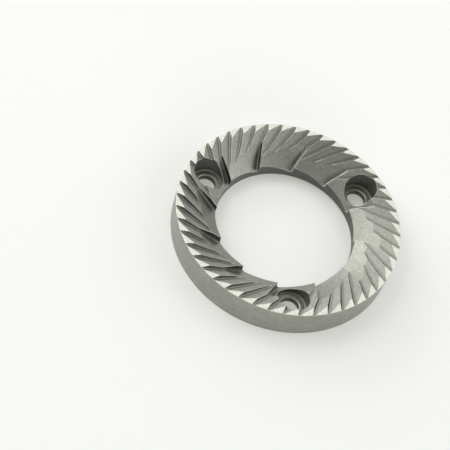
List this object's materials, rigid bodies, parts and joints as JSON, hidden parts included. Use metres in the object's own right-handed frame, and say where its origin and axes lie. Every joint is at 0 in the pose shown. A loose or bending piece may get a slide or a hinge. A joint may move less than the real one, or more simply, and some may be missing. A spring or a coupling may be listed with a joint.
{
  "type": "grinding burr",
  "caption": "Flat steel ring burr with slanted fine grooves at the rim, stepped breaker faces round the bore and sunk screw holes; it shears coffee beans as it turns.",
  "frame": {"origin": "centre of the seat on the back", "axes": "+Z along the turning axis towards the teeth, +X through the first screw hole"},
  "size_m": [0.064, 0.064, 0.0096],
  "materials": {
    "steel": "bright ground lands, matte milled teeth, satin turned rim"
  },
  "bodies": {
    "root": {"burr": "steel"}
  },
  "joints": []
}
